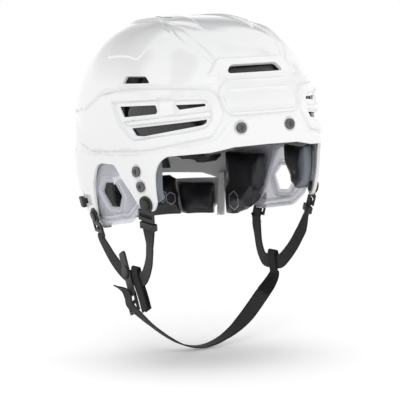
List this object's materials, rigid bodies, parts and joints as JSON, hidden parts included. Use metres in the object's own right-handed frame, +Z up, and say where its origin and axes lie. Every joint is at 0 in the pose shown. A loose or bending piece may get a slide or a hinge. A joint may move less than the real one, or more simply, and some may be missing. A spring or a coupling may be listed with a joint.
{
  "type": "ice hockey helmet",
  "caption": "One-piece gloss shell ice hockey helmet with padded liner, rear cradle on a fit dial, clear ear guards and a webbing chin strap.",
  "frame": {"origin": "centre of the head opening, at the level where the shell is widest", "axes": "+X to the wearer's left, -Y to the front, +Z up; the head enters from below"},
  "size_m": [0.2206, 0.2825, 0.3423],
  "materials": {
    "shell_gloss_white": "gloss moulded",
    "clear_guard": "translucent moulded",
    "foam_charcoal": "moulded foam, skinned",
    "brow_foam": "grained foam cover",
    "screw_steel": "dark plated",
    "nut_steel": "plated",
    "cradle_grey": "satin moulded",
    "black_plastic": "satin moulded",
    "lace_cord": "braided",
    "webbing_charcoal": "woven"
  },
  "bodies": {
    "helmet": {"outer_shell": "shell_gloss_white", "ear_guard_right": "clear_guard", "ear_guard_left": "clear_guard", "crown_pad": "foam_charcoal", "crown_side_pad_right": "foam_charcoal", "crown_side_pad_left": "foam_charcoal", "front_side_pad_right": "foam_charcoal", "front_side_pad_left": "foam_charcoal", "side_pad_right": "foam_charcoal", "side_pad_left": "foam_charcoal", "rear_pad": "foam_charcoal", "temple_pad_right": "foam_charcoal", "temple_pad_left": "foam_charcoal", "brow_pad": "brow_foam", "brow_screws": "screw_steel", "temple_screws_right": "screw_steel", "temple_screws_left": "screw_steel", "front_strap_stud_right": "screw_steel", "front_strap_stud_left": "screw_steel", "rear_strap_rivet_right": "screw_steel", "rear_strap_rivet_left": "screw_steel", "brow_nuts": "nut_steel", "temple_nuts_right": "nut_steel", "temple_nuts_left": "nut_steel", "lace_anchor_right": "black_plastic", "lace_anchor_left": "black_plastic", "strap_keeper_right": "black_plastic", "strap_keeper_left": "black_plastic", "strap_slider": "black_plastic", "snap_stud": "screw_steel", "lace_right": "lace_cord", "lace_left": "lace_cord", "side_strap_right": "webbing_charcoal", "side_strap_left": "webbing_charcoal", "chin_strap": "webbing_charcoal", "yoke_right": "webbing_charcoal", "yoke_left": "webbing_charcoal"},
    "cradle": {"cradle": "cradle_grey", "nape_pad": "foam_charcoal", "neck_pad_right": "foam_charcoal", "neck_pad_left": "foam_charcoal", "neck_side_pad_right": "foam_charcoal", "neck_side_pad_left": "foam_charcoal", "cradle_knob_right": "black_plastic", "cradle_knob_left": "black_plastic", "dial_housing": "black_plastic", "dial_axle": "screw_steel"},
    "dial_spool": {"dial_spool": "black_plastic"},
    "fit_dial": {"fit_dial": "black_plastic"},
    "snap_tab": {"snap_tab": "webbing_charcoal", "snap_socket": "black_plastic"},
    "front_clip_right": {"front_strap_clip_right": "black_plastic"},
    "front_clip_left": {"front_strap_clip_left": "black_plastic"},
    "rear_hook_right": {"rear_strap_hook_right": "black_plastic"},
    "rear_hook_left": {"rear_strap_hook_left": "black_plastic"}
  },
  "joints": [
    {"name": "cradle_slide", "type": "slide", "parent": "helmet", "child": "cradle", "axis": [0, -1, 0], "range_m": [0, 0.01], "deforming": ["lace_right", "lace_left"]},
    {"name": "fit_dial_turn", "type": "hinge", "parent": "cradle", "child": "dial_spool", "pos_m": [0, 0.11732, -0.05], "axis": [0, 1, 0], "range_deg": [0, 163.7]},
    {"name": "fit_dial_pull", "type": "slide", "parent": "dial_spool", "child": "fit_dial", "axis": [0, 1, 0], "range_m": [0, 0.003]},
    {"name": "snap_tab_peel", "type": "hinge", "parent": "helmet", "child": "snap_tab", "pos_m": [-0.0838, -0.01495, -0.12903], "axis": [0, -0.9029, 0.4298], "range_deg": [0, 40], "deforming": ["chin_strap"]},
    {"name": "front_clip_right_swing", "type": "hinge", "parent": "helmet", "child": "front_clip_right", "pos_m": [-0.09588, -0.07696, -0.02999], "axis": [-0.9351, -0.29, -0.2039], "range_deg": [-12, 12], "deforming": ["side_strap_right"]},
    {"name": "front_clip_left_swing", "type": "hinge", "parent": "helmet", "child": "front_clip_left", "pos_m": [0.09588, -0.07696, -0.02999], "axis": [0.9351, -0.29, -0.2039], "range_deg": [-12, 12], "deforming": ["side_strap_left"]},
    {"name": "rear_hook_right_swing", "type": "hinge", "parent": "helmet", "child": "rear_hook_right", "pos_m": [-0.09875, 0.032, -0.05], "axis": [-0.9629, 0.0923, -0.2536], "range_deg": [-12, 12], "deforming": ["side_strap_right"]},
    {"name": "rear_hook_left_swing", "type": "hinge", "parent": "helmet", "child": "rear_hook_left", "pos_m": [0.09875, 0.032, -0.05], "axis": [0.9629, 0.0923, -0.2536], "range_deg": [-12, 12], "deforming": ["side_strap_left"]}
  ],
  "couplings": [
    {"joint": "fit_dial_turn", "follows": "cradle_slide", "rad_per_m": 285.71}
  ]
}
